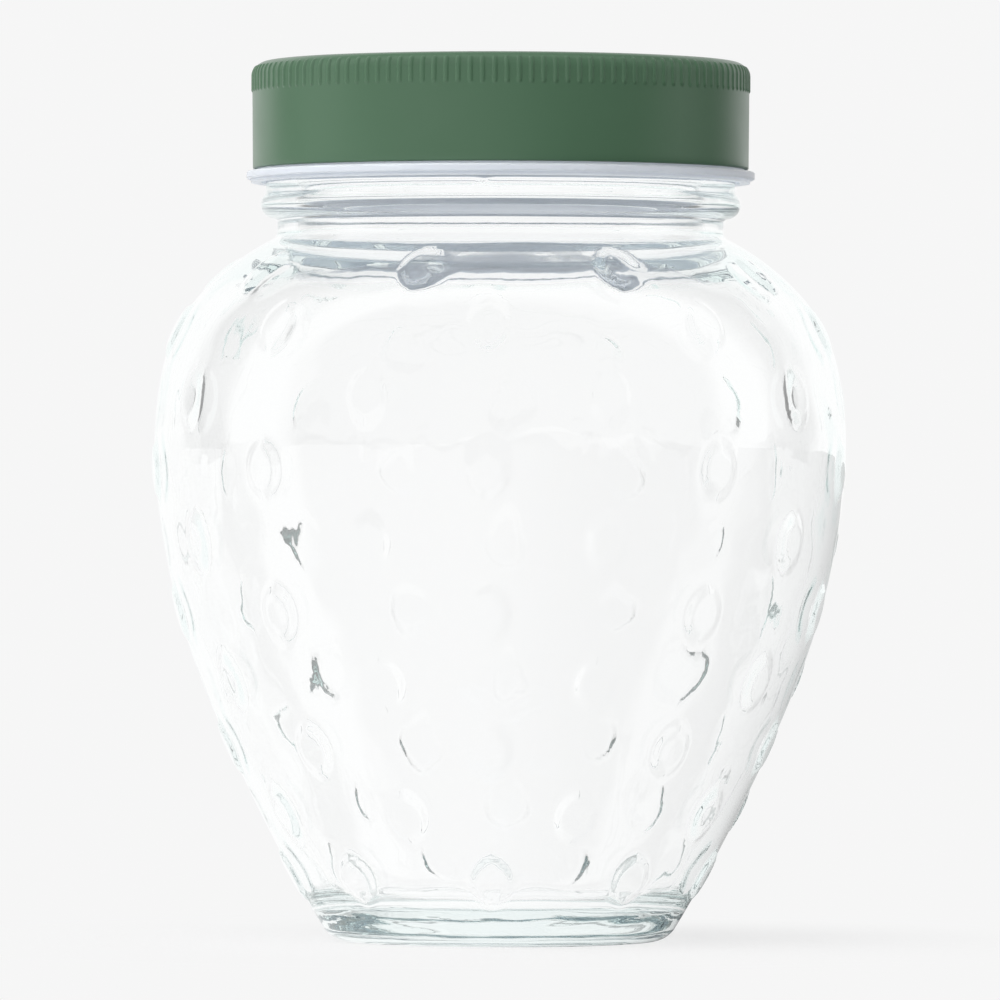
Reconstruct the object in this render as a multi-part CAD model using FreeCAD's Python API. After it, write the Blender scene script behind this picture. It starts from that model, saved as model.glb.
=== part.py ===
"""Glass storage jar in the shape of a strawberry, closed by its screw lid.

Millimetres, +Z up. The origin is the centre of the base, on the surface that the jar stands on, and
+Z is the jar's axis. There are three pieces, one inside the other:

    jar_glass   the thick glass body, with rows of raised seeds, a grooved neck and a plain bore
    lid_liner   the plastic insert of the lid, which covers the mouth and ends in a flange
    lid_shell   the pressed metal shell round that insert, with a band of knurls below its top

The jar is empty. Every round form is an outline in the XZ plane, turned about the axis.
"""
import FreeCAD, Part

import math
import os

AXIS_POINT = FreeCAD.Vector(0, 0, 0)
AXIS = FreeCAD.Vector(0, 0, 1)

# Glass: the base.
STANDING_RADIUS = 26.9        # outer edge of the flat ring that the jar stands on
STANDING_RING_WIDTH = 2.0
PUNT_CORNER = 1.2             # rounding from the standing ring into the hollow underside
PUNT_HEIGHT = 3.4             # how far the underside rises at the centre
HEEL_RADIUS = 5.0             # rounding from the standing ring into the body
HEEL_SLOPE = 59.0             # degrees from the horizontal at which the body leaves the heel

# Glass: the body's outline above the heel, as (radius, height). The last one is the neck's foot.
BODY_STATIONS = (
    (37.8, 14.5),
    (44.5, 28.0),
    (54.6, 51.5),
    (60.1, 74.0),
    (61.2, 87.5),
    (59.7, 101.0),
    (53.6, 113.6),
    (46.3, 120.6),
)
WALL = 3.2

# Glass: the neck and the finish that the lid screws on.
NECK_RADIUS = 38.9            # at the bottom of the groove under the bead
NECK_HEIGHT = 126.0
NECK_GROOVE = 1.2             # radius of the groove's round bottom
NECK_FLANK = 60.0             # degrees from the vertical, on both sides of the groove
BEAD_PEAK = 42.5
BEAD_ROUND = 2.4
FINISH_RADIUS = 41.6
BORE_RADIUS = 36.0
RIM_HEIGHT = 152.9
RIM_OUTER_ROUND = 1.6
RIM_INNER_ROUND = 1.2

# Glass: the inside of the base.
FLOOR_HEIGHT = 7.8
FLOOR_CORNER = 6.0
INSIDE_START = 11.0           # height at which the inner wall leaves the floor's round corner
INSIDE_STATIONS = 9

# Glass: the seeds. Each is a half-sunk ellipsoid, long along the outline.
SEED_ROWS = 10
SEEDS_PER_ROW = 9
FIRST_ROW = 9.6               # distance of the lowest row from the heel, along the outline
ROW_PITCH = 13.35             # distance between rows, along the outline
FRONT = -90.0                 # degrees from +X to the side that faces the viewer
SEED_TURN = -2.0              # degrees that the lowest row is turned from the front
SEED_HALF_LENGTH = 5.4
SEED_HALF_WIDTH = 4.3
SEED_HALF_DEPTH = 1.4
SEED_SUNK = 0.5               # depth of the ellipsoid's centre under the surface

# Lid: the metal shell.
LID_RADIUS = 44.0
LID_HEM_RADIUS = 43.9         # the skirt tapers in a little towards its hem
LID_BOTTOM = 136.5
LID_TOP = 155.5
LID_CORNER = 2.6
SHEET = 0.5                   # thickness of the metal
HEM_HEIGHT = 1.2
HEM_FOLD = 0.4                # extra thickness of the folded hem
HEM_ROUND = 0.35
PANEL_RADIUS = 36.5           # flat middle of the top, a step lower than its rim
PANEL_STEP_RADIUS = 38.3
PANEL_DROP = 0.7

# Lid: the band of knurls.
KNURLS = 130
KNURL_HEIGHT = 0.22
KNURL_SHARE = 0.5             # share of the pitch that each knurl takes
KNURL_BOTTOM = 150.1
KNURL_TOP = 154.8
KNURL_RUNOUT = 0.8            # length over which a knurl rises out of the skirt

# Lid: the plastic insert.
LINER_INSIDE_RADIUS = 42.45
FLANGE_RADIUS = 45.0
FLANGE_TOP = 136.1
FLANGE_BOTTOM = 134.7
FLANGE_ROUND = 0.35
LIP_RADIUS = 44.2             # narrower step under the flange
LIP_BOTTOM = 134.1


def point(radius, height):
    """A point of an outline in the XZ plane."""
    return FreeCAD.Vector(radius, 0, height)


def direction(degrees):
    """A unit vector in the XZ plane, at an angle from the horizontal."""
    angle = math.radians(degrees)
    return FreeCAD.Vector(math.cos(angle), 0, math.sin(angle))


def line(start, end):
    return Part.LineSegment(start, end).toShape()


def arc(centre, radius, start_degrees, end_degrees):
    """An arc of an outline, from one angle to the other about its centre."""
    middle = (start_degrees + end_degrees) / 2
    through = [centre + direction(degrees) * radius for degrees in (start_degrees, middle, end_degrees)]
    return Part.Arc(*through).toShape()


def start_of(edge):
    return edge.valueAt(edge.FirstParameter)


def end_of(edge):
    return edge.valueAt(edge.LastParameter)


def spline(points, start_direction, end_direction):
    curve = Part.BSplineCurve()
    curve.interpolate(Points=points, InitialTangent=start_direction, FinalTangent=end_direction)
    return curve.toShape()


def joined(edges):
    """The edges in order, with a straight line wherever one doesn't start at the end of the last."""
    chain = []
    for edge in edges:
        if chain and not end_of(chain[-1]).isEqual(start_of(edge), 1e-6):
            chain.append(line(end_of(chain[-1]), start_of(edge)))
        chain.append(edge)
    return chain


def turned(edges):
    """The solid that a closed outline sweeps about the jar's axis."""
    chain = joined(edges)
    if not end_of(chain[-1]).isEqual(start_of(chain[0]), 1e-6):
        chain.append(line(end_of(chain[-1]), start_of(chain[0])))
    return Part.Face(Part.Wire(chain)).revolve(AXIS_POINT, AXIS, 360)


def groove_arc():
    """The round bottom of the neck's groove, between its two sloping flanks."""
    centre = point(NECK_RADIUS + NECK_GROOVE, NECK_HEIGHT)
    return arc(centre, NECK_GROOVE, 180 + NECK_FLANK, 180 - NECK_FLANK)


def heel_arc():
    centre = point(STANDING_RADIUS, HEEL_RADIUS)
    return arc(centre, HEEL_RADIUS, -90, HEEL_SLOPE - 90)


def body_edge():
    """The body's outline, tangent to the heel at its start and to the neck's groove at its end."""
    stations = [point(radius, height) for radius, height in BODY_STATIONS]
    points = [end_of(heel_arc())] + stations + [start_of(groove_arc())]
    return spline(points, direction(HEEL_SLOPE), direction(90 + NECK_FLANK))


def bead_arc(groove):
    """The bead above the groove, tangent to the line in which the groove's upper flank goes on."""
    centre_radius = BEAD_PEAK - BEAD_ROUND
    foot_radius = centre_radius + BEAD_ROUND * math.cos(math.radians(NECK_FLANK))
    flank_rise = (foot_radius - end_of(groove).x) / math.tan(math.radians(NECK_FLANK))
    foot_height = end_of(groove).z + flank_rise
    centre_height = foot_height + BEAD_ROUND * math.sin(math.radians(NECK_FLANK))
    top_degrees = math.degrees(math.acos((FINISH_RADIUS - centre_radius) / BEAD_ROUND))
    return arc(point(centre_radius, centre_height), BEAD_ROUND, -NECK_FLANK, top_degrees)


def outside_of_glass():
    """The glass with no hollow in it, but with the raised middle of its underside."""
    inner_edge = STANDING_RADIUS - STANDING_RING_WIDTH
    dome_edge = point(inner_edge - PUNT_CORNER, PUNT_CORNER)
    dome_middle = point(dome_edge.x / 2, PUNT_CORNER + (PUNT_HEIGHT - PUNT_CORNER) * 0.75)
    groove = groove_arc()
    rim_centre = point(FINISH_RADIUS - RIM_OUTER_ROUND, RIM_HEIGHT - RIM_OUTER_ROUND)
    return turned([
        Part.Arc(point(0, PUNT_HEIGHT), dome_middle, dome_edge).toShape(),
        arc(point(inner_edge, PUNT_CORNER), PUNT_CORNER, -180, -90),
        heel_arc(),
        body_edge(),
        groove,
        bead_arc(groove),
        arc(rim_centre, RIM_OUTER_ROUND, 0, 90),
        line(point(0, RIM_HEIGHT), point(0, PUNT_HEIGHT)),
    ])


def inside_edge(body):
    """The inner wall, a wall's thickness inside the body's outline."""
    first = body.Curve.parameter(point(BODY_STATIONS[0][0], INSIDE_START))
    points = []
    for step in range(INSIDE_STATIONS):
        parameter = first + (body.LastParameter - first) * step / (INSIDE_STATIONS - 1)
        tangent = body.tangentAt(parameter)
        inward = FreeCAD.Vector(-tangent.z, 0, tangent.x)
        points.append(body.valueAt(parameter) + inward * WALL)
    return spline(points, body.tangentAt(first), direction(90 + NECK_FLANK))


def cavity():
    """The hollow of the jar, from its floor to above its rim."""
    wall = inside_edge(body_edge())
    wall_tangent = wall.tangentAt(wall.FirstParameter)
    wall_slope = math.degrees(math.atan2(wall_tangent.z, wall_tangent.x))
    corner_centre = start_of(wall) - direction(wall_slope - 90) * FLOOR_CORNER
    neck_round = (end_of(wall).x - BORE_RADIUS) / (1 - math.cos(math.radians(NECK_FLANK)))
    neck_height = end_of(wall).z + neck_round * math.sin(math.radians(NECK_FLANK))
    rim_centre = point(BORE_RADIUS + RIM_INNER_ROUND, RIM_HEIGHT - RIM_INNER_ROUND)
    above_rim = RIM_HEIGHT + RIM_INNER_ROUND
    return turned([
        line(point(0, FLOOR_HEIGHT), point(corner_centre.x / 2, FLOOR_HEIGHT)),
        arc(corner_centre, FLOOR_CORNER, -90, wall_slope - 90),
        wall,
        arc(point(BORE_RADIUS + neck_round, neck_height), neck_round, 180 + NECK_FLANK, 180),
        arc(rim_centre, RIM_INNER_ROUND, 180, 90),
        line(point(rim_centre.x, above_rim), point(0, above_rim)),
    ])


def seed_places(body):
    """Where the seeds sit: staggered rows, evenly spaced along the body's outline."""
    places = []
    for row in range(SEED_ROWS):
        parameter = body.getParameterByLength(FIRST_ROW + ROW_PITCH * row)
        foot = body.valueAt(parameter)
        tangent = body.tangentAt(parameter)
        outward = FreeCAD.Vector(tangent.z, 0, -tangent.x)
        stagger = 0.5 * (row % 2)
        for seed in range(SEEDS_PER_ROW):
            turn = FRONT + SEED_TURN + (seed + stagger) * 360 / SEEDS_PER_ROW
            about_axis = FreeCAD.Rotation(AXIS, turn)
            upright = FreeCAD.Rotation(outward, FreeCAD.Vector(0, 1, 0), tangent, "XZY")
            centre = foot - outward * SEED_SUNK
            places.append(FreeCAD.Placement(about_axis.multVec(centre), about_axis.multiply(upright)))
    return places


def seeds(body):
    """The raised seeds, each long along the outline and shallow across the wall."""
    stretch = FreeCAD.Matrix()
    stretch.scale(SEED_HALF_DEPTH, SEED_HALF_WIDTH, SEED_HALF_LENGTH)
    ellipsoid = Part.makeSphere(1.0).transformGeometry(stretch)
    solids = []
    for place in seed_places(body):
        seed = ellipsoid.copy()
        seed.Placement = place
        solids.append(seed)
    return solids


def jar_glass():
    return outside_of_glass().multiFuse(seeds(body_edge())).cut(cavity())


def shell_inside_edges():
    """The shell's inner face from its hem to the middle of the top. The insert fits this face."""
    inside = LID_RADIUS - SHEET
    corner = LID_CORNER - SHEET
    fold_top = LID_BOTTOM + HEM_HEIGHT
    under_rim = LID_TOP - SHEET
    under_panel = under_rim - PANEL_DROP
    return joined([
        line(point(inside - HEM_FOLD, LID_BOTTOM + HEM_ROUND), point(inside - HEM_FOLD, fold_top)),
        line(point(inside, fold_top + HEM_FOLD), point(inside, under_rim - corner)),
        arc(point(inside - corner, under_rim - corner), corner, 0, 90),
        line(point(PANEL_STEP_RADIUS, under_rim), point(PANEL_RADIUS, under_panel)),
        line(point(PANEL_RADIUS, under_panel), point(0, under_panel)),
    ])


def shell_blank():
    """The pressed shell before its knurls are rolled."""
    corner_centre = point(LID_RADIUS - LID_CORNER, LID_TOP - LID_CORNER)
    panel_top = LID_TOP - PANEL_DROP
    hem_inside = LID_RADIUS - SHEET - HEM_FOLD + HEM_ROUND
    outside = [
        line(point(0, panel_top), point(PANEL_RADIUS, panel_top)),
        line(point(PANEL_STEP_RADIUS, LID_TOP), point(corner_centre.x, LID_TOP)),
        arc(corner_centre, LID_CORNER, 90, 0),
        line(point(LID_RADIUS, KNURL_BOTTOM), point(LID_HEM_RADIUS, LID_BOTTOM + HEM_ROUND)),
        arc(point(LID_HEM_RADIUS - HEM_ROUND, LID_BOTTOM + HEM_ROUND), HEM_ROUND, 0, -90),
        arc(point(hem_inside, LID_BOTTOM + HEM_ROUND), HEM_ROUND, -90, -180),
    ]
    return turned(outside + shell_inside_edges())


def knurl_section():
    """The cross-section of the band: one shallow arc for each knurl and one for each gap."""
    pitch = 360 / KNURLS
    half_knurl = pitch * KNURL_SHARE / 2
    edges = []
    for knurl in range(KNURLS):
        middle = knurl * pitch
        knurl_radii = (LID_RADIUS, LID_RADIUS + KNURL_HEIGHT, LID_RADIUS)
        knurl_angles = (middle - half_knurl, middle, middle + half_knurl)
        gap_radii = (LID_RADIUS, LID_RADIUS, LID_RADIUS)
        gap_angles = (middle + half_knurl, middle + pitch / 2, middle + pitch - half_knurl)
        for radii, angles in ((knurl_radii, knurl_angles), (gap_radii, gap_angles)):
            through = [
                FreeCAD.Rotation(AXIS, degrees).multVec(FreeCAD.Vector(radius, 0, KNURL_BOTTOM))
                for radius, degrees in zip(radii, angles)
            ]
            edges.append(Part.Arc(*through).toShape())
    return Part.Wire(edges)


def knurl_band():
    """The knurls, running out into the skirt below and following the lid's round corner above."""
    bars = Part.Face(knurl_section()).extrude(AXIS * (KNURL_TOP - KNURL_BOTTOM))
    crest = LID_RADIUS + KNURL_HEIGHT
    inside = LID_RADIUS - SHEET / 2
    corner_centre = point(LID_RADIUS - LID_CORNER, LID_TOP - LID_CORNER)
    corner_rise = (KNURL_TOP - corner_centre.z) / (LID_CORNER + KNURL_HEIGHT)
    corner = arc(corner_centre, LID_CORNER + KNURL_HEIGHT, 0, math.degrees(math.asin(corner_rise)))
    inner_top = point(corner_centre.x, KNURL_TOP - SHEET)
    envelope = turned([
        line(point(inside, KNURL_BOTTOM), point(LID_RADIUS, KNURL_BOTTOM)),
        line(point(crest, KNURL_BOTTOM + KNURL_RUNOUT), point(crest, corner_centre.z)),
        corner,
        line(inner_top, point(inside, corner_centre.z)),
    ])
    return bars.common(envelope)


def lid_shell():
    return shell_blank().fuse(knurl_band())


def lid_liner():
    """The insert: a cap that fits the shell, open below, with a flange that shows under the hem."""
    fit = shell_inside_edges()
    neck_radius = start_of(fit[0]).x
    flange_centre = point(FLANGE_RADIUS - FLANGE_ROUND, (FLANGE_TOP + FLANGE_BOTTOM) / 2)
    half_flange = (FLANGE_TOP - FLANGE_BOTTOM) / 2
    upper_corner = flange_centre + AXIS * (half_flange - FLANGE_ROUND)
    lower_corner = flange_centre - AXIS * (half_flange - FLANGE_ROUND)
    return turned([
        line(point(0, RIM_HEIGHT), point(LINER_INSIDE_RADIUS, RIM_HEIGHT)),
        line(point(LINER_INSIDE_RADIUS, LIP_BOTTOM), point(LIP_RADIUS, LIP_BOTTOM)),
        line(point(LIP_RADIUS, FLANGE_BOTTOM), point(lower_corner.x, FLANGE_BOTTOM)),
        arc(lower_corner, FLANGE_ROUND, -90, 0),
        arc(upper_corner, FLANGE_ROUND, 0, 90),
        line(point(neck_radius, FLANGE_TOP), start_of(fit[0])),
    ] + fit)


def main():
    os.makedirs("parts", exist_ok=True)
    pieces = {
        "jar_glass": jar_glass(),
        "lid_liner": lid_liner(),
        "lid_shell": lid_shell(),
    }
    for node, shape in pieces.items():
        shape.exportStep(f"parts/{node}.step")
        box = shape.BoundBox
        print(
            f"{node}: {shape.ShapeType}, {len(shape.Solids)} solid, {len(shape.Faces)} faces,"
            f" valid {shape.isValid()}, {shape.Volume / 1000:.1f} cm3,"
            f" z {box.ZMin:.2f} to {box.ZMax:.2f}, width {box.XLength:.2f}"
        )


main()
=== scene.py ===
"""Looks of the glass storage jar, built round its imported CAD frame.

Metres, +Z up along the jar's axis, the origin at the centre of the base, the front towards -Y.
The glass and the lid's shell are rebuilt here with finer relief than the solids have. The plastic
insert is the CAD node itself.
"""
import math

import bpy
import numpy as np
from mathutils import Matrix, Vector, noise


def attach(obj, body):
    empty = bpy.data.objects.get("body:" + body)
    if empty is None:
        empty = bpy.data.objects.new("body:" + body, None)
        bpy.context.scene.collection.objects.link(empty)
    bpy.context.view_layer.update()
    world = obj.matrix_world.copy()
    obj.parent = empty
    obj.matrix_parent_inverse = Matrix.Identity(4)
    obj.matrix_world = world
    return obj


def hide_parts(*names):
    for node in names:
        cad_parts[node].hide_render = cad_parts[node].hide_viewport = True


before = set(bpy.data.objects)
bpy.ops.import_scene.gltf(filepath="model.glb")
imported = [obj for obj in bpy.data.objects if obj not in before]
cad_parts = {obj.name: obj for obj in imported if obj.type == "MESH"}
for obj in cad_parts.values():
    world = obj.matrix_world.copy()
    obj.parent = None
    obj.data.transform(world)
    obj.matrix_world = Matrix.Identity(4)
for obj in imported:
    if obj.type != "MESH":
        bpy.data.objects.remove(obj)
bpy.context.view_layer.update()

MM = 0.001

# Camera: level with the middle of the jar, far off with a long lens.
FOCAL_LENGTH = 342.0
SENSOR_WIDTH = 36.0
CAMERA_DISTANCE = 1.6827
CAMERA_HEIGHT = 0.0745
CAMERA_PITCH = 0.12           # degrees upwards
CAMERA_ROLL = -0.12           # degrees

# Glass outline, in millimetres: (radius, degrees turned) for each arc above the heel. The neck, the
# rows of seeds and the rim differ a little from part.py's.
STANDING_RADIUS = 26.9
STANDING_RING_WIDTH = 2.0
PUNT_CORNER = 1.2
PUNT_HEIGHT = 3.4
HEEL_RADIUS = 5.0
HEEL_SLOPE = 59.0
BODY_ARCS = ((300.0, 9.0), (125.0, 19.0), (61.0, 16.0), (28.5, 30.5), (45.0, 19.5))
WALL = 3.2
THICKENING = 0.95             # how much thicker than elsewhere the wall is at the neck
THICKENING_LENGTH = 15.5
NECK_FOOT_ROUND = 1.5
NECK_TOP_ROUND = 0.8
BEAD_PEAK = 42.5
BEAD_ROUND = 2.4
BEAD_HEIGHT = 130.2
FINISH_RADIUS = 41.6
BORE_RADIUS = 36.0
RIM_HEIGHT = 151.9
RIM_OUTER_ROUND = 1.6
RIM_INNER_ROUND = 1.2
THREAD_START = 139.6
THREAD_PITCH = 6.0
THREAD_TURNS = 1.25
THREAD_DEPTH = 0.55
THREAD_HALF_WIDTH = 1.3
THREAD_RUN_OUT = 0.5          # radians over which each end of the thread sinks into the finish
THREAD_CLEARANCE = (2.0, 0.5)  # from the bead to the rings that can carry the thread, and on to the rim
FLOOR_HEIGHT = 7.8
FLOOR_CORNER = 6.0
FLOOR_CORNER_GAP = 0.5        # least height from the floor's corner to the next ring of the wall

# Unevenness of the inner wall: (height in millimetres, waves per millimetre, place in the noise).
LONG_WAVE = (0.35, 0.055, (3.1, 1.7, 0.4))
SHORT_WAVE = (0.16, 0.16, (0.3, 7.9, 2.2))
WAVE_STRETCH = 0.8            # share of the height that the noise sees, which draws waves out upwards
WAVE_FADE = 14.0              # below the neck, over which the waves set in
CORNER_WAVE = 0.7             # share of the wave that moves the floor's corner sideways
FLOOR_WAVE = 0.5              # share of it that moves the corner and the floor upwards

# Spacing of the glass's rings, in millimetres, how many points the evenly divided stretches take, and
# the columns where there are no seeds.
OUTER_SPACING = 1.1
INNER_SPACING = 1.3
HEEL_SPACING = 0.7
NECK_SPACING = 0.3
BEAD_SPACING = 0.45
THREAD_SPACING = 0.45
ROUND_SPACING = 0.4
FLOOR_CORNER_SPACING = 0.9
PUNT_STEPS = 12
BORE_STEPS = 8
FLOOR_STEPS = 10
COARSE_COLUMNS = 144
INNER_COLUMNS = 180

# Seeds, in millimetres: a lens with pointed ends and a soft flank all round. Its top follows the wall.
SEED_ROWS = 10
SEEDS_PER_ROW = 9
FIRST_ROW = 11.0
ROW_PITCH = 12.65
TOP_ROW_TURN = 6.0            # degrees that the top row is turned from the even pattern
FRONT = -90.0
SEED_TURN = -2.0
SEED_HALF_WIDTH = 4.2
SEED_HALF_LENGTH = 5.6
SEED_FLANK = 1.6
SEED_RISE = 0.68
COLUMN_DENSE = 6.0            # degrees on each side of a line of seeds where columns are close
COLUMN_STEP = 0.6
GAP_STEPS = 4                 # columns between two lines of seeds

# Lid, in millimetres. The knurls are finer than part.py's.
LID_RADIUS = 44.0
LID_HEM_RADIUS = 43.9
LID_BOTTOM = 136.5
LID_TOP = 155.5
LID_CORNER = 2.6
SHEET = 0.5
HEM_HEIGHT = 1.2
HEM_FOLD = 0.4
HEM_ROUND = 0.35
PANEL_RADIUS = 36.5
PANEL_STEP_RADIUS = 38.3
PANEL_DROP = 0.7
KNURLS = 130
KNURL_HEIGHT = 0.2
KNURL_HALF_WIDTH = 0.24       # of the pitch
KNURL_EDGE = 0.3              # width of the rounded edge all round a knurl
KNURL_BOTTOM = 150.0
KNURL_TOP = 154.75
KNURL_EDGE_COLUMNS = (0.08, 0.165, 0.205, 0.24, 0.275, 0.31)  # of the pitch, on each side of a knurl
KNURL_GAP_COLUMN = 0.42
KNURL_CLEARANCE = (0.2, 0.6)  # from the knurls' lower end down to the last fine and the first plain ring

# Spacing of the lid's rings, in millimetres, and how many points its evenly divided stretches take.
LID_CORNER_SPACING = 0.22
HEM_SPACING = 0.12
LID_INSIDE_SPACING = 0.5
PANEL_STEPS = 14
PANEL_EDGE_STEPS = 9
LID_RIM_STEPS = 4
KNURL_STEPS = 16
SKIRT_STEPS = 12


# ---------------------------------------------------------------- outlines

def heading(degrees):
    return np.array((math.cos(math.radians(degrees)), math.sin(math.radians(degrees))))


def arc_points(centre, radius, start, end, spacing):
    """Points (radius, height) along an arc, with the normal at each that points away from its centre."""
    length = abs(math.radians(end - start)) * radius
    count = max(2, int(round(length / spacing)) + 1)
    normals = np.array([heading(a) for a in np.linspace(start, end, count)])
    return np.array(centre) + normals * radius, normals


def heel_end():
    return np.array((STANDING_RADIUS, HEEL_RADIUS)) + heading(HEEL_SLOPE - 90) * HEEL_RADIUS


def body_outline(spacing):
    """The body's outline from heel to neck, its normals and the distance from the heel along it."""
    start = heel_end()
    slope = HEEL_SLOPE
    points = []
    normals = []
    distances = []
    travelled = 0.0
    for radius, turn in BODY_ARCS:
        centre = start - heading(slope - 90) * radius
        part, outward = arc_points(centre, radius, slope - 90, slope + turn - 90, spacing)
        points.append(part[:-1])
        normals.append(outward[:-1])
        length = math.radians(turn) * radius
        distances.append(travelled + np.linspace(0, length, len(part))[:-1])
        travelled += length
        slope += turn
        start = centre + heading(slope - 90) * radius
    return np.concatenate(points), np.concatenate(normals), np.concatenate(distances), start, slope


# ---------------------------------------------------------------- rings and meshes

class Lathe:
    """A closed surface built ring by ring, from one pole on the axis to the other."""

    def __init__(self):
        self.vertices = []
        self.faces = []
        self.last = None
        self.last_angles = None

    def pole(self, height):
        """A point on the axis, which closes the surface."""
        index = len(self.vertices)
        self.vertices.append((0.0, 0.0, height * MM))
        if self.last is not None:
            count = len(self.last)
            for i in range(count):
                self.faces.append((self.last[i], self.last[(i + 1) % count], index))
        self.last = [index]

    def ring(self, radii, heights, angles):
        """A ring of points at angles in radians, joined to the ring before it."""
        first = len(self.vertices)
        radii = np.broadcast_to(radii, angles.shape)
        heights = np.broadcast_to(heights, angles.shape)
        for r, z, a in zip(radii, heights, angles):
            self.vertices.append((r * math.cos(a) * MM, r * math.sin(a) * MM, z * MM))
        current = list(range(first, len(self.vertices)))
        if self.last is not None:
            self.join(current, angles)
        self.last = current
        self.last_angles = angles

    def join(self, current, angles):
        old = self.last
        count = len(current)
        if len(old) == 1:
            for i in range(count):
                self.faces.append((old[0], current[(i + 1) % count], current[i]))
        elif len(old) == count:
            for i in range(count):
                j = (i + 1) % count
                self.faces.append((old[i], old[j], current[j], current[i]))
        else:
            self.zip_up(old, self.last_angles, current, angles)

    def zip_up(self, old, old_angles, new, new_angles):
        """Triangles between two rings with different numbers of points."""
        turn = 2 * math.pi
        old_turns = np.append(old_angles, old_angles[0] + turn)
        new_turns = np.append(new_angles, new_angles[0] + turn)
        i = j = 0
        while i < len(old) or j < len(new):
            a, b = old[i % len(old)], new[j % len(new)]
            step_old = j >= len(new) or (i < len(old) and old_turns[i + 1] <= new_turns[j + 1])
            if step_old:
                self.faces.append((a, old[(i + 1) % len(old)], b))
                i += 1
            else:
                self.faces.append((a, new[(j + 1) % len(new)], b))
                j += 1

    def build(self, name):
        mesh = bpy.data.meshes.new(name)
        mesh.from_pydata(self.vertices, [], self.faces)
        mesh.polygons.foreach_set("use_smooth", [True] * len(mesh.polygons))
        mesh.update()
        piece = bpy.data.objects.new(name, mesh)
        bpy.context.scene.collection.objects.link(piece)
        return piece


def even_angles(count, start_degrees=0.0):
    return math.radians(start_degrees) + np.arange(count) * 2 * math.pi / count


# ---------------------------------------------------------------- glass

def seed_columns():
    """Angles of the columns, close together along each line of seeds and wider between."""
    pitch = 180.0 / SEEDS_PER_ROW
    dense = np.arange(-COLUMN_DENSE, COLUMN_DENSE + 1e-6, COLUMN_STEP)
    gap = pitch - 2 * COLUMN_DENSE
    wide = COLUMN_DENSE + np.arange(1, GAP_STEPS) * gap / GAP_STEPS
    offsets = np.concatenate((dense, wide))
    lines = FRONT + SEED_TURN + np.arange(2 * SEEDS_PER_ROW) * pitch
    return np.radians((lines[:, None] + offsets[None, :]).ravel())


def smooth(x):
    x = np.clip(x, 0.0, 1.0)
    return x * x * (3 - 2 * x)


def seed_relief(distance, radius, angles):
    """Height of the seeds above the wall, round one ring at a distance from the heel."""
    row = int(round((distance - FIRST_ROW) / ROW_PITCH))
    if row < 0 or row >= SEED_ROWS:
        return np.zeros_like(angles)
    pitch = 2 * math.pi / SEEDS_PER_ROW
    first = math.radians(FRONT + SEED_TURN) + 0.5 * pitch * (row % 2)
    if row == SEED_ROWS - 1:
        first += math.radians(TOP_ROW_TURN)
    off = (angles - first + pitch / 2) % pitch - pitch / 2
    sideways = np.abs(off * radius)
    upwards = distance - (FIRST_ROW + ROW_PITCH * row)
    side = (SEED_HALF_LENGTH ** 2 - SEED_HALF_WIDTH ** 2) / (2 * SEED_HALF_WIDTH)
    inside = (side + SEED_HALF_WIDTH) - np.hypot(sideways + side, upwards)
    return SEED_RISE * smooth(inside / SEED_FLANK)


def wall_wave(angle, radius, height):
    """Unevenness of the inner wall, in millimetres: long soft waves and a few shorter ones."""
    place = Vector((radius * math.cos(angle), radius * math.sin(angle), height * WAVE_STRETCH))
    return sum(
        size * noise.noise(place * rate + Vector(shift)) for size, rate, shift in (LONG_WAVE, SHORT_WAVE)
    )


def wall_waves(angles, radius, height):
    return np.array([wall_wave(angle, radius, height) for angle in angles])


def thickening(before_neck):
    """How much thicker than elsewhere the wall is, at distances before the neck."""
    return THICKENING * smooth(1 - before_neck / THICKENING_LENGTH)


def thread_relief(height, angles):
    """Height of the right-handed screw thread round one ring of the finish."""
    relief = np.zeros_like(angles)
    end = 2 * math.pi * THREAD_TURNS
    for lap in range(math.ceil(THREAD_TURNS)):
        along = (angles - angles[0]) + 2 * math.pi * lap
        centre = THREAD_START + THREAD_PITCH * along / (2 * math.pi)
        ridge = smooth(1 - np.abs(height - centre) / THREAD_HALF_WIDTH)
        ends = smooth(along / THREAD_RUN_OUT) * smooth((end - along) / THREAD_RUN_OUT)
        relief = np.maximum(relief, THREAD_DEPTH * ridge * ends)
    return relief


def add_underside(lathe, columns, coarse):
    """A low dome, its rounded edge, the standing ring and the heel."""
    inner_edge = STANDING_RADIUS - STANDING_RING_WIDTH
    dome_radius = inner_edge - PUNT_CORNER
    lathe.pole(PUNT_HEIGHT)
    for share in np.linspace(0, 1, PUNT_STEPS)[1:]:
        height = PUNT_HEIGHT - (PUNT_HEIGHT - PUNT_CORNER) * share ** 2
        lathe.ring(dome_radius * share, height, coarse)
    corner, _ = arc_points((inner_edge, PUNT_CORNER), PUNT_CORNER, -180, -90, ROUND_SPACING)
    for r, z in corner[1:]:
        lathe.ring(r, z, coarse)
    heel_centre = (STANDING_RADIUS, HEEL_RADIUS)
    heel, _ = arc_points(heel_centre, HEEL_RADIUS, -90, HEEL_SLOPE - 90, HEEL_SPACING)
    for r, z in heel[:-1]:
        lathe.ring(r, z, columns)


def add_body(lathe, columns):
    """The body with its seeds. Returns its upper end and the slope there."""
    points, normals, distances, shoulder, slope = body_outline(OUTER_SPACING)
    for (r, z), (nr, nz), s in zip(points, normals, distances):
        relief = seed_relief(s, r, columns)
        lathe.ring(r + nr * relief, z + nz * relief, columns)
    return shoulder, slope


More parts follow.
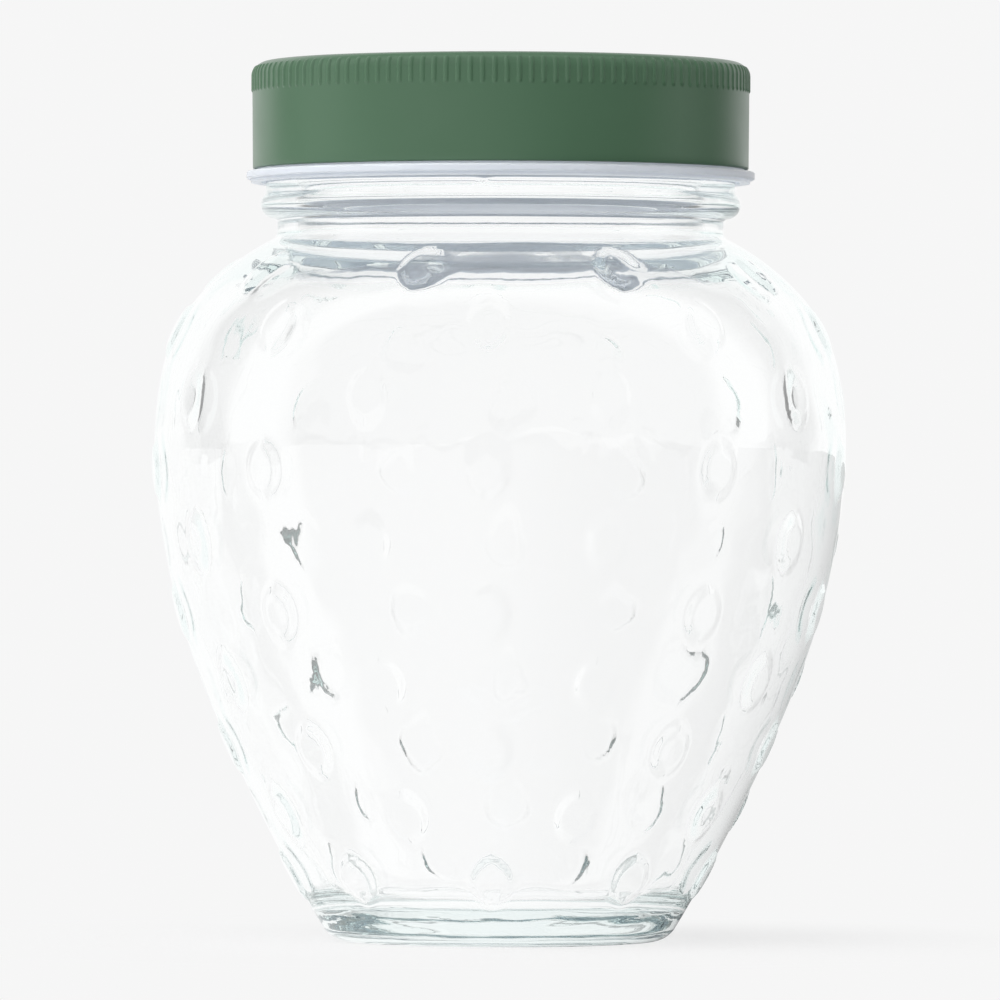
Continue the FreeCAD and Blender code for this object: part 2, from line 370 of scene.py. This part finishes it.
def add_neck(lathe, columns, shoulder, slope):
    """Round the neck's foot, up its short straight part and round the bead. Returns where that ends."""
    foot_centre = shoulder + heading(slope - 90) * NECK_FOOT_ROUND
    foot, _ = arc_points(foot_centre, NECK_FOOT_ROUND, slope + 90, 180, NECK_SPACING)
    bead_centre = np.array((BEAD_PEAK - BEAD_ROUND, BEAD_HEIGHT))
    top_radius = foot[-1][0] + NECK_TOP_ROUND
    reach = BEAD_ROUND + NECK_TOP_ROUND
    below = math.sqrt(reach ** 2 - (top_radius - bead_centre[0]) ** 2)
    touch = math.degrees(math.atan2(-below, top_radius - bead_centre[0]))
    under_centre = (top_radius, BEAD_HEIGHT - below)
    under, _ = arc_points(under_centre, NECK_TOP_ROUND, 180, touch + 180, NECK_SPACING)
    bead_end = math.degrees(math.acos((FINISH_RADIUS - bead_centre[0]) / BEAD_ROUND))
    bead, _ = arc_points(bead_centre, BEAD_ROUND, touch, bead_end, BEAD_SPACING)
    for r, z in np.vstack((foot, under, bead[1:])):
        lathe.ring(r, z, columns)
    return bead[-1][1]


def add_finish(lathe, coarse, bead_top):
    """The finish with its thread, and the rim. Returns the height where the bore begins."""
    rim_start = RIM_HEIGHT - RIM_OUTER_ROUND
    above_bead, below_rim = THREAD_CLEARANCE
    for z in np.arange(bead_top + above_bead, rim_start - below_rim, THREAD_SPACING):
        lathe.ring(FINISH_RADIUS + thread_relief(z, coarse), z, coarse)
    rim_centre = (FINISH_RADIUS - RIM_OUTER_ROUND, rim_start)
    rim, _ = arc_points(rim_centre, RIM_OUTER_ROUND, 0, 90, ROUND_SPACING)
    lip_centre = (BORE_RADIUS + RIM_INNER_ROUND, RIM_HEIGHT - RIM_INNER_ROUND)
    lip, _ = arc_points(lip_centre, RIM_INNER_ROUND, 90, 180, ROUND_SPACING)
    for r, z in np.vstack((rim, lip)):
        lathe.ring(r, z, coarse)
    return lip[-1][1]


def inner_wall(shoulder, slope):
    """The inner side of the wall, from heel to neck."""
    walls, normals, distances, _, _ = body_outline(INNER_SPACING)
    walls = np.vstack((walls, shoulder))
    normals = np.vstack((normals, heading(slope - 90)))
    length = sum(math.radians(turn) * radius for radius, turn in BODY_ARCS)
    thickness = WALL + thickening(length - np.append(distances, length))
    return walls - normals * thickness[:, None]


def add_bore(lathe, coarse, fine, bore_top, wall_end, slope):
    """The bore and the round edge below it, as far as the wall. Returns the height of that edge."""
    flank = slope - 90
    edge_round = (wall_end[0] - BORE_RADIUS) / (1 - math.cos(math.radians(flank)))
    edge_height = wall_end[1] + edge_round * math.sin(math.radians(flank))
    edge_centre = (BORE_RADIUS + edge_round, edge_height)
    edge, _ = arc_points(edge_centre, edge_round, 180, 180 + flank, ROUND_SPACING)
    for share in np.linspace(0, 1, BORE_STEPS)[1:-1]:
        lathe.ring(BORE_RADIUS, bore_top + (edge_height - bore_top) * share, coarse)
    for r, z in edge[:-1]:
        lathe.ring(r, z, fine)
    return edge_height


def add_inside(lathe, coarse, fine, wall, neck_height):
    """The wavy wall, downwards, then the floor's corner and the floor."""
    flank_centre = heel_end() - heading(HEEL_SLOPE - 90) * BODY_ARCS[0][0]
    flank_radius = BODY_ARCS[0][0] - WALL
    reach = flank_radius - FLOOR_CORNER
    corner_degrees = math.degrees(
        math.asin((FLOOR_HEIGHT + FLOOR_CORNER - flank_centre[1]) / reach)
    )
    corner_centre = flank_centre + heading(corner_degrees) * reach
    wall_start = flank_centre + heading(corner_degrees) * flank_radius
    for r, z in wall[::-1]:
        if z <= wall_start[1] + FLOOR_CORNER_GAP:
            break
        fade = smooth((neck_height - z) / WAVE_FADE)
        lathe.ring(r - wall_waves(fine, r, z) * fade, z, fine)
    corner, _ = arc_points(corner_centre, FLOOR_CORNER, corner_degrees, -90, FLOOR_CORNER_SPACING)
    for r, z in corner:
        waves = wall_waves(fine, r, z)
        lathe.ring(r - CORNER_WAVE * waves, z + FLOOR_WAVE * waves, fine)
    for share in np.linspace(1, 0, FLOOR_STEPS)[1:-1]:
        r = corner[-1][0] * share
        waves = wall_waves(coarse, r, FLOOR_HEIGHT)
        lathe.ring(r, FLOOR_HEIGHT + FLOOR_WAVE * waves, coarse)
    lathe.pole(FLOOR_HEIGHT)


def glass_mesh():
    """The glass as one closed surface: up the outside, over the rim and down the inside."""
    lathe = Lathe()
    columns = seed_columns()
    coarse = even_angles(COARSE_COLUMNS, FRONT)
    fine = even_angles(INNER_COLUMNS, FRONT)
    add_underside(lathe, columns, coarse)
    shoulder, slope = add_body(lathe, columns)
    bead_top = add_neck(lathe, columns, shoulder, slope)
    bore_top = add_finish(lathe, coarse, bead_top)
    wall = inner_wall(shoulder, slope)
    neck_height = add_bore(lathe, coarse, fine, bore_top, wall[-1], slope)
    add_inside(lathe, coarse, fine, wall, neck_height)
    return lathe.build("glass_body")


# ---------------------------------------------------------------- lid

def knurl_columns():
    """Angles of the columns: close together along the two edges of each knurl."""
    edges = np.array(KNURL_EDGE_COLUMNS)
    offsets = np.concatenate((-edges[::-1], edges, (KNURL_GAP_COLUMN,)))
    pitch = 2 * math.pi / KNURLS
    return (np.arange(KNURLS)[:, None] * pitch + offsets[None, :] * pitch).ravel()


def knurl_relief(along, length, angles):
    """Height of the knurls round one ring, at a distance from their lower end: bars with round ends."""
    pitch = 2 * math.pi / KNURLS
    off = np.abs((angles + pitch / 2) % pitch - pitch / 2) * LID_RADIUS
    half_width = KNURL_HALF_WIDTH * pitch * LID_RADIUS
    past_middle = abs(along - length / 2) - (length / 2 - half_width)
    inside = half_width - np.hypot(off, max(past_middle, 0.0))
    return KNURL_HEIGHT * smooth(inside / KNURL_EDGE)


def lid_mesh():
    """The shell as one closed surface: out over the top, down the skirt, round the hem and back inside."""
    lathe = Lathe()
    plain = even_angles(2 * KNURLS)
    fine = knurl_columns()
    panel_top = LID_TOP - PANEL_DROP
    corner_centre = (LID_RADIUS - LID_CORNER, LID_TOP - LID_CORNER)

    # Top: the panel, a soft step up to the rim, and the rim as far as the corner.
    lathe.pole(panel_top)
    for r in np.linspace(0, PANEL_RADIUS, PANEL_STEPS)[1:-1]:
        lathe.ring(r, panel_top, plain)
    for share in np.linspace(0, 1, PANEL_EDGE_STEPS):
        r = PANEL_RADIUS + (PANEL_STEP_RADIUS - PANEL_RADIUS) * share
        lathe.ring(r, panel_top + PANEL_DROP * smooth(share), plain)
    for r in np.linspace(PANEL_STEP_RADIUS, corner_centre[0], LID_RIM_STEPS)[1:-1]:
        lathe.ring(r, LID_TOP, plain)

    # Corner and upper skirt with the knurls. They start on the corner and end on the skirt.
    corner, outward = arc_points(corner_centre, LID_CORNER, 90, 0, LID_CORNER_SPACING)
    knurl_start = math.degrees(math.asin((KNURL_TOP - corner_centre[1]) / LID_CORNER))
    on_corner = math.radians(knurl_start) * LID_CORNER
    on_skirt = corner_centre[1] - KNURL_BOTTOM
    length = on_corner + on_skirt
    angles = np.linspace(90, 0, len(corner))
    for (r, z), (nr, nz), degrees in zip(corner, outward, angles):
        along = on_skirt + math.radians(degrees) * LID_CORNER
        relief = knurl_relief(along, length, fine)
        lathe.ring(r + nr * relief, z + nz * relief, fine)
    last_fine, first_plain = (KNURL_BOTTOM - gap for gap in KNURL_CLEARANCE)
    for z in np.linspace(corner_centre[1], last_fine, KNURL_STEPS)[1:]:
        relief = knurl_relief(z - KNURL_BOTTOM, length, fine)
        lathe.ring(LID_RADIUS + relief, z, fine)

    # Plain skirt down to the rolled hem, and back up inside it.
    hem_top = LID_BOTTOM + HEM_ROUND
    for z in np.linspace(first_plain, hem_top, SKIRT_STEPS):
        share = (KNURL_BOTTOM - z) / (KNURL_BOTTOM - hem_top)
        lathe.ring(LID_RADIUS + (LID_HEM_RADIUS - LID_RADIUS) * share, z, plain)
    hem, _ = arc_points((LID_HEM_RADIUS - HEM_ROUND, hem_top), HEM_ROUND, 0, -90, HEM_SPACING)
    for r, z in hem[1:]:
        lathe.ring(r, z, plain)
    inside = LID_RADIUS - SHEET
    fold = inside - HEM_FOLD
    hem, _ = arc_points((fold + HEM_ROUND, hem_top), HEM_ROUND, -90, -180, HEM_SPACING)
    for r, z in hem:
        lathe.ring(r, z, plain)
    fold_top = LID_BOTTOM + HEM_HEIGHT
    lathe.ring(fold, fold_top, plain)
    lathe.ring(inside, fold_top + HEM_FOLD, plain)
    inner_corner, _ = arc_points(corner_centre, LID_CORNER - SHEET, 0, 90, LID_INSIDE_SPACING)
    for r, z in inner_corner:
        lathe.ring(r, z, plain)
    lathe.ring(PANEL_STEP_RADIUS, LID_TOP - SHEET, plain)
    lathe.ring(PANEL_RADIUS, panel_top - SHEET, plain)
    lathe.pole(panel_top - SHEET)
    return lathe.build("lid_shell_painted")


# ---------------------------------------------------------------- nodes

def add_node(tree, kind, inputs=(), **settings):
    """A node with its settings. Inputs are (socket, value or output) pairs."""
    node = tree.nodes.new(kind)
    for key, value in settings.items():
        setattr(node, key, value)
    for socket, value in inputs:
        if isinstance(value, bpy.types.NodeSocket):
            tree.links.new(value, node.inputs[socket])
        else:
            node.inputs[socket].default_value = value
    return node


def math_node(tree, operation, *values, clamp=False):
    node = add_node(tree, "ShaderNodeMath", list(enumerate(values)), operation=operation)
    node.use_clamp = clamp
    return node.outputs[0]


def map_range(tree, value, low, high, to_low=0.0, to_high=1.0, kind="SMOOTHSTEP"):
    inputs = ((0, value), (1, low), (2, high), (3, to_low), (4, to_high))
    return add_node(tree, "ShaderNodeMapRange", inputs, interpolation_type=kind).outputs[0]


def new_material(name):
    material = bpy.data.materials.new(name)
    material.use_nodes = True
    tree = material.node_tree
    principled = tree.nodes["Principled BSDF"]
    return material, tree, principled


def linear(srgb):
    """A colour as written on screen, from 0 to 1, in the linear values that shaders take."""
    channels = [c / 12.92 if c <= 0.04045 else ((c + 0.055) / 1.055) ** 2.4 for c in srgb]
    return (*channels, 1.0)


def mix_colours(tree, share, first, second):
    """A mix of two colours, each as written on screen: the first where share is 0."""
    inputs = (("Factor", share), ("A", linear(first)), ("B", linear(second)))
    return add_node(tree, "ShaderNodeMix", inputs, data_type="RGBA").outputs["Result"]


def choose(tree, otherwise, choices):
    """A level. Each (test, value) in turn takes over where its test is 1."""
    level = otherwise
    for test, value in choices:
        inputs = (("Factor", test), ("A", level), ("B", value))
        level = add_node(tree, "ShaderNodeMix", inputs, data_type="FLOAT").outputs["Result"]
    return level


# ---------------------------------------------------------------- materials

LONGEST_PATH = 9.5            # bounces before light that is still caught in the glass is let out


def glass_material():
    material, tree, principled = new_material("clear_glass")
    principled.inputs["Base Color"].default_value = (1.0, 1.0, 1.0, 1.0)
    principled.inputs["IOR"].default_value = 1.5
    principled.inputs["Transmission Weight"].default_value = 1.0
    place = add_node(tree, "ShaderNodeTexCoord").outputs["Object"]
    ripple = add_node(tree, "ShaderNodeTexNoise", (("Vector", place), ("Scale", 120.0), ("Detail", 2.5)))
    haze = add_node(tree, "ShaderNodeTexNoise", (("Vector", place), ("Scale", 35.0), ("Detail", 2.0)))
    roughness = map_range(tree, haze.outputs[0], 0.3, 0.8, 0.0, 0.02, "LINEAR")
    tree.links.new(roughness, principled.inputs["Roughness"])
    bump = add_node(
        tree, "ShaderNodeBump",
        (("Height", ripple.outputs[0]), ("Strength", 0.5), ("Distance", 0.00008)),
    )
    tree.links.new(bump.outputs[0], principled.inputs["Normal"])
    absorption = add_node(
        tree, "ShaderNodeVolumeAbsorption", (("Color", (0.70, 0.89, 0.87, 1.0)), ("Density", 5.5))
    )
    depth = add_node(tree, "ShaderNodeLightPath").outputs["Ray Depth"]
    caught = math_node(tree, "GREATER_THAN", depth, LONGEST_PATH)
    clear = add_node(tree, "ShaderNodeBsdfTransparent")
    surface = add_node(
        tree, "ShaderNodeMixShader", ((0, caught), (1, principled.outputs[0]), (2, clear.outputs[0]))
    )
    output = tree.nodes["Material Output"]
    tree.links.new(surface.outputs[0], output.inputs["Surface"])
    tree.links.new(absorption.outputs[0], output.inputs["Volume"])
    return material


def paint_material():
    material, tree, principled = new_material("green_paint")
    place = add_node(tree, "ShaderNodeTexCoord").outputs["Object"]
    mottle = add_node(tree, "ShaderNodeTexNoise", (("Vector", place), ("Scale", 60.0), ("Detail", 4.0)))
    tint = mix_colours(tree, mottle.outputs[0], (0.272, 0.40, 0.30), (0.288, 0.42, 0.318))
    tree.links.new(tint, principled.inputs["Base Color"])
    roughness = map_range(tree, mottle.outputs[0], 0.3, 0.7, 0.28, 0.36, "LINEAR")
    tree.links.new(roughness, principled.inputs["Roughness"])
    peel = add_node(tree, "ShaderNodeTexNoise", (("Vector", place), ("Scale", 1800.0), ("Detail", 2.0)))
    bump = add_node(
        tree, "ShaderNodeBump",
        (("Height", peel.outputs[0]), ("Strength", 0.25), ("Distance", 0.00003)),
    )
    tree.links.new(bump.outputs[0], principled.inputs["Normal"])
    return material


def plastic_material():
    material, tree, principled = new_material("pale_plastic")
    place = add_node(tree, "ShaderNodeTexCoord").outputs["Object"]
    cloud = add_node(tree, "ShaderNodeTexNoise", (("Vector", place), ("Scale", 80.0), ("Detail", 3.0)))
    tint = mix_colours(tree, cloud.outputs[0], (0.79, 0.815, 0.855), (0.83, 0.85, 0.885))
    tree.links.new(tint, principled.inputs["Base Color"])
    principled.inputs["Roughness"].default_value = 0.35
    principled.inputs["Subsurface Weight"].default_value = 0.8
    principled.inputs["Subsurface Radius"].default_value = (1.0, 1.0, 1.0)
    principled.inputs["Subsurface Scale"].default_value = 0.004
    return material


# ---------------------------------------------------------------- stage

BACKGROUND = 0.923            # linear value of the pale backdrop as the camera sees it
KEY_AZIMUTH = -50.0           # degrees from the front, towards the left
KEY_ELEVATION = 40.0
KEY_STRENGTH = 3.4            # at the middle of the soft light
AMBIENT = 0.25
DIM = 0.3                     # what glass shows of the room's darker parts
BEHIND = (0.55, 0.7)          # how far backwards a ray points where the room behind sets in
BESIDE = (0.15, 0.3)          # how far forwards or backwards it points where the room's sides end
WINDOW = (-0.2, 0.6)          # how far to the right a mirrored ray points while the room gets darker
FAR_BEHIND = (0.85, 0.95)     # how far backwards it points where the pale backdrop sets in
WINDOW_DARK = 0.1
KEY_FALL_OFF = 4.0
FIRST_BOUNCE = 1.5            # more than one bounce and less than two
FLOOR_HALF_SIDE = 6.0         # metres
FLOOR_GLOW = 0.3              # what the far floor gives back to diffuse surfaces
SHADE = 0.2                   # how much of the floor's colour by the jar is lit, and so shaded
SHADE_REACH = (0.03, 0.11)    # metres from the axis, over which that share fades
MOST_BOUNCES = 24
MOST_DIFFUSE_BOUNCES = 6


def key_direction():
    azimuth, elevation = math.radians(KEY_AZIMUTH), math.radians(KEY_ELEVATION)
    flat = math.cos(elevation)
    return Vector((math.sin(azimuth) * flat, -math.cos(azimuth) * flat, math.sin(elevation)))


def first_mirror_ray(tree, path):
    """1 for a ray that the surface in view mirrors outwards, else 0."""
    first = math_node(tree, "LESS_THAN", path.outputs["Ray Depth"], FIRST_BOUNCE)
    return math_node(tree, "MULTIPLY", path.outputs["Is Glossy Ray"], first)


def window(tree, sideways):
    """What surfaces mirror of the room: pale on the left and in front, dark on the right."""
    return map_range(tree, sideways, *WINDOW, 1.0, WINDOW_DARK)


def build_world():
    """A pale backdrop for the camera, soft light from the front left, and a room for glass to show."""
    world = bpy.data.worlds.new("studio")
    bpy.context.scene.world = world
    world.use_nodes = True
    world.cycles.sampling_method = "NONE"
    tree = world.node_tree
    background = tree.nodes["Background"]
    way = add_node(tree, "ShaderNodeTexCoord").outputs["Generated"]
    axes = add_node(tree, "ShaderNodeSeparateXYZ", ((0, way),))
    behind = map_range(tree, axes.outputs[1], *BEHIND, DIM, 1.0)
    lengthways = math_node(tree, "ABSOLUTE", axes.outputs[1])
    beside = map_range(tree, lengthways, *BESIDE, 1.0 - DIM, 0.0)
    through_glass = math_node(tree, "ADD", behind, beside)
    facing = add_node(
        tree, "ShaderNodeVectorMath", ((0, way), (1, key_direction())), operation="DOT_PRODUCT"
    ).outputs["Value"]
    lobe = math_node(tree, "POWER", math_node(tree, "MAXIMUM", facing, 0.0), KEY_FALL_OFF)
    soft = math_node(tree, "MULTIPLY_ADD", lobe, KEY_STRENGTH, AMBIENT)
    far_behind = map_range(tree, axes.outputs[1], *FAR_BEHIND)
    mirrored = math_node(tree, "MAXIMUM", window(tree, axes.outputs[0]), far_behind)
    path = add_node(tree, "ShaderNodeLightPath")
    strength = choose(tree, through_glass, (
        (first_mirror_ray(tree, path), mirrored),
        (path.outputs["Is Diffuse Ray"], soft),
        (path.outputs["Is Camera Ray"], BACKGROUND),
    ))
    tree.links.new(strength, background.inputs["Strength"])
    background.inputs["Color"].default_value = (1.0, 1.0, 1.0, 1.0)


def build_floor():
    """A pale floor that takes the jar's shadow near it and is as plain as the backdrop further off."""
    mesh = bpy.data.meshes.new("floor")
    side = FLOOR_HALF_SIDE
    corners = [(-side, -side, 0), (side, -side, 0), (side, side, 0), (-side, side, 0)]
    mesh.from_pydata(corners, [], [(0, 1, 2, 3)])
    floor = bpy.data.objects.new("floor", mesh)
    bpy.context.scene.collection.objects.link(floor)
    material = bpy.data.materials.new("floor")
    material.use_nodes = True
    tree = material.node_tree
    tree.nodes.remove(tree.nodes["Principled BSDF"])
    place = add_node(tree, "ShaderNodeTexCoord").outputs["Object"]
    away = add_node(tree, "ShaderNodeVectorMath", ((0, place),), operation="LENGTH").outputs["Value"]
    path = add_node(tree, "ShaderNodeLightPath")
    not_through_glass = math_node(tree, "SUBTRACT", 1.0, path.outputs["Is Transmission Ray"])
    shade = map_range(tree, away, *SHADE_REACH, SHADE, 0.0)
    near = math_node(tree, "MULTIPLY", shade, not_through_glass)
    across = add_node(tree, "ShaderNodeSeparateXYZ", ((0, place),)).outputs[0]
    mirrored = window(tree, math_node(tree, "DIVIDE", across, away))
    level = choose(tree, 1.0, (
        (first_mirror_ray(tree, path), mirrored),
        (path.outputs["Is Diffuse Ray"], FLOOR_GLOW),
        (path.outputs["Is Camera Ray"], BACKGROUND),
    ))
    plain = add_node(tree, "ShaderNodeEmission", (("Strength", level),))
    lit = add_node(tree, "ShaderNodeBsdfDiffuse", (("Color", (0.87, 0.87, 0.87, 1.0)),))
    mix = add_node(
        tree, "ShaderNodeMixShader", ((0, near), (1, plain.outputs[0]), (2, lit.outputs[0]))
    )
    tree.links.new(mix.outputs[0], tree.nodes["Material Output"].inputs["Surface"])
    mesh.materials.append(material)
    return floor


def build_camera():
    data = bpy.data.cameras.new("camera")
    data.lens = FOCAL_LENGTH
    data.sensor_width = SENSOR_WIDTH
    data.clip_start = 0.1
    data.clip_end = 50.0
    camera = bpy.data.objects.new("camera", data)
    bpy.context.scene.collection.objects.link(camera)
    camera.location = (0.0, -CAMERA_DISTANCE, CAMERA_HEIGHT)
    camera.rotation_euler = (math.radians(90 + CAMERA_PITCH), math.radians(CAMERA_ROLL), 0.0)
    bpy.context.scene.camera = camera


# ---------------------------------------------------------------- assembly

glass = glass_mesh()
glass.data.materials.append(glass_material())
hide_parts("jar_glass")
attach(glass, "root")

lid = lid_mesh()
lid.data.materials.append(paint_material())
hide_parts("lid_shell")
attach(lid, "root")

plastic = plastic_material()
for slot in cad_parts["lid_liner"].material_slots:
    slot.material = plastic

build_world()
build_floor()
build_camera()

scene = bpy.context.scene
scene.view_settings.view_transform = "Standard"
scene.cycles.max_bounces = MOST_BOUNCES
scene.cycles.transmission_bounces = MOST_BOUNCES
scene.cycles.glossy_bounces = MOST_BOUNCES
scene.cycles.diffuse_bounces = MOST_DIFFUSE_BOUNCES
scene.cycles.blur_glossy = 0.0
